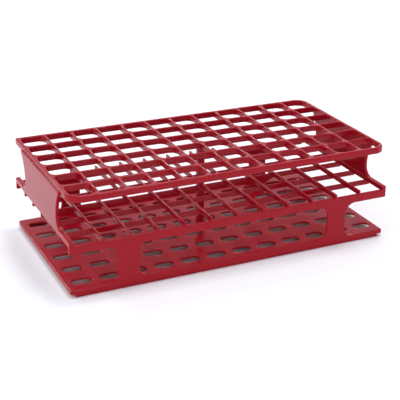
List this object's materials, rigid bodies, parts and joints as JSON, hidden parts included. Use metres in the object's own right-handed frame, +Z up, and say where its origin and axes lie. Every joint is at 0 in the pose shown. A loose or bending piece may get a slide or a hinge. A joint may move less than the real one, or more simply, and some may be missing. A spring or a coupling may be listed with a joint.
{
  "type": "test tube rack",
  "caption": "Open three-tier moulded plastic rack holding test tubes upright: a grid of square cells, an open lattice deck and a slotted base.",
  "frame": {"origin": "centre of the bounding box's bottom face, on the bench", "axes": "+X along the length, to the right seen from the front; +Y across the width, to the back; +Z up"},
  "size_m": [0.246, 0.125, 0.072],
  "materials": {
    "red_polypropylene": "satin moulded polypropylene"
  },
  "bodies": {
    "root": {"base_plate": "red_polypropylene", "front_base_skirt": "red_polypropylene", "front_foot_rail": "red_polypropylene", "front_left_leg": "red_polypropylene", "front_right_leg": "red_polypropylene", "front_sill": "red_polypropylene", "left_base_skirt": "red_polypropylene", "left_end_wall": "red_polypropylene", "lower_centre_post": "red_polypropylene", "middle_cross_rib_01": "red_polypropylene", "middle_cross_rib_02": "red_polypropylene", "middle_cross_rib_03": "red_polypropylene", "middle_cross_rib_04": "red_polypropylene", "middle_cross_rib_05": "red_polypropylene", "middle_cross_rib_06": "red_polypropylene", "middle_cross_rib_07": "red_polypropylene", "middle_cross_rib_08": "red_polypropylene", "middle_cross_rib_09": "red_polypropylene", "middle_cross_rib_10": "red_polypropylene", "middle_cross_rib_11": "red_polypropylene", "middle_front_rail": "red_polypropylene", "middle_left_rail": "red_polypropylene", "middle_long_rib_1": "red_polypropylene", "middle_long_rib_2": "red_polypropylene", "middle_long_rib_3": "red_polypropylene", "middle_long_rib_4": "red_polypropylene", "middle_long_rib_5": "red_polypropylene", "middle_rear_rail": "red_polypropylene", "middle_right_rail": "red_polypropylene", "rear_base_skirt": "red_polypropylene", "rear_foot_rail": "red_polypropylene", "rear_left_leg": "red_polypropylene", "rear_right_leg": "red_polypropylene", "rear_sill": "red_polypropylene", "right_base_skirt": "red_polypropylene", "right_end_wall": "red_polypropylene", "top_cross_rib_01": "red_polypropylene", "top_cross_rib_02": "red_polypropylene", "top_cross_rib_03": "red_polypropylene", "top_cross_rib_04": "red_polypropylene", "top_cross_rib_05": "red_polypropylene", "top_cross_rib_06": "red_polypropylene", "top_cross_rib_07": "red_polypropylene", "top_cross_rib_08": "red_polypropylene", "top_cross_rib_09": "red_polypropylene", "top_cross_rib_10": "red_polypropylene", "top_cross_rib_11": "red_polypropylene", "top_long_rib_1": "red_polypropylene", "top_long_rib_2": "red_polypropylene", "top_long_rib_3": "red_polypropylene", "top_long_rib_4": "red_polypropylene", "top_long_rib_5": "red_polypropylene", "top_rim": "red_polypropylene", "upper_centre_post": "red_polypropylene"}
  },
  "joints": []
}
